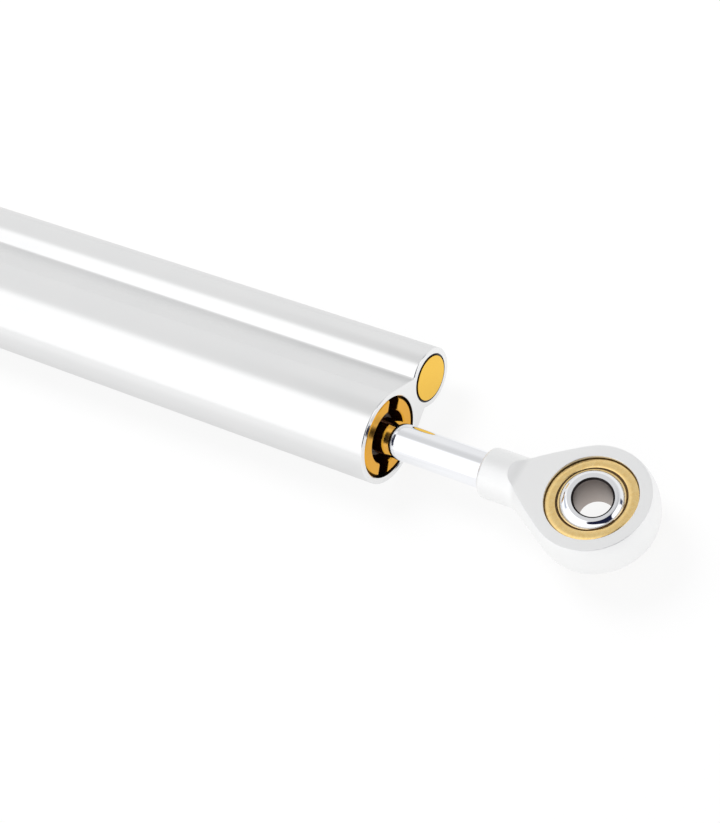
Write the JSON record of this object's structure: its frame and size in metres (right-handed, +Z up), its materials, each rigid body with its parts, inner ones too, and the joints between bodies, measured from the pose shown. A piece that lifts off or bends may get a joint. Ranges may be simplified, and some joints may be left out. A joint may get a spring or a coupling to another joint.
{
  "type": "linear steering damper",
  "caption": "Linear through-rod steering damper: gold-glanded silver twin-tube body, click adjuster, chromed rod and an eye with a swivelling spherical bearing.",
  "frame": {"origin": "centre of the spherical bearing in the rod's eye", "axes": "+X along the rod, from the body to the eye's outer end; +Z up, square to the flats of the eye; +Y to the side where the small channel tube lies"},
  "size_m": [0.2454, 0.0371, 0.021],
  "materials": {
    "silver_aluminium": "polished",
    "satin_aluminium": "satin",
    "gold_anodised": "satin",
    "plain_aluminium": "satin",
    "hard_chrome": "polished",
    "race_brass": "satin",
    "seat_brass": "satin",
    "bush_bronze": "satin",
    "liner_ptfe": "matte",
    "ring_ptfe": "matte",
    "seal_rubber": "matte",
    "steel": "satin",
    "spring_steel": "satin"
  },
  "bodies": {
    "body": {"housing": "silver_aluminium", "front_gland": "gold_anodised", "rear_gland": "gold_anodised", "gland_o_rings": "seal_rubber", "wiper_seals": "seal_rubber", "guide_bushes": "bush_bronze", "rod_seals": "seal_rubber", "seal_washers": "steel", "seal_circlips": "spring_steel", "port_balls": "steel", "channel_plug": "gold_anodised", "channel_plug_o_ring": "seal_rubber", "needle_seat": "seat_brass", "adjuster_cartridge": "gold_anodised", "cartridge_o_ring": "seal_rubber"},
    "sliding_ring": {"piston_ring": "ring_ptfe"},
    "rod_and_eye": {"piston_rod": "hard_chrome", "piston": "plain_aluminium", "piston_o_ring": "seal_rubber", "piston_circlips": "spring_steel", "rod_eye": "satin_aluminium", "bearing_race": "race_brass"},
    "liner": {"bearing_liner": "liner_ptfe"},
    "ball": {"bearing_ball": "hard_chrome"},
    "knob": {"adjuster_knob": "gold_anodised", "knob_grub_screw": "spring_steel", "detent_ball": "steel", "detent_spring": "spring_steel"},
    "needle": {"metering_needle": "steel", "needle_o_ring": "seal_rubber"},
    "compensator": {"compensator_piston": "plain_aluminium", "compensator_o_ring": "seal_rubber"}
  },
  "joints": [
    {"name": "rod_slide", "type": "slide", "parent": "body", "child": "sliding_ring", "axis": [1, 0, 0], "range_m": [-0.021, 0.049]},
    {"name": "rod_turn", "type": "hinge", "parent": "sliding_ring", "child": "rod_and_eye", "pos_m": [-0.12915, 0, 0], "axis": [1, 0, 0], "continuous": true},
    {"name": "eye_swivel", "type": "hinge", "parent": "rod_and_eye", "child": "liner", "pos_m": [0, 0, 0], "axis": [0, 0, 1], "continuous": true},
    {"name": "ball_tilt", "type": "hinge", "parent": "liner", "child": "ball", "pos_m": [0, 0, 0], "axis": [0.4695, 0.8829, 0], "range_deg": [-26.8, 3.2]},
    {"name": "knob_turn", "type": "hinge", "parent": "body", "child": "knob", "pos_m": [-0.187, 0.01712, -0.00103], "axis": [1, 0, 0], "range_deg": [-270.01, 270.01]},
    {"name": "needle_travel", "type": "slide", "parent": "knob", "child": "needle", "axis": [1, 0, 0], "range_m": [-0.0006, 0.0006]},
    {"name": "compensator_slide", "type": "slide", "parent": "body", "child": "compensator", "axis": [1, 0, 0], "range_m": [-0.002, 0.002], "stiffness_N_per_m": 500}
  ],
  "couplings": [
    {"joint": "knob_turn", "follows": "needle_travel", "rad_per_m": 7854}
  ]
}
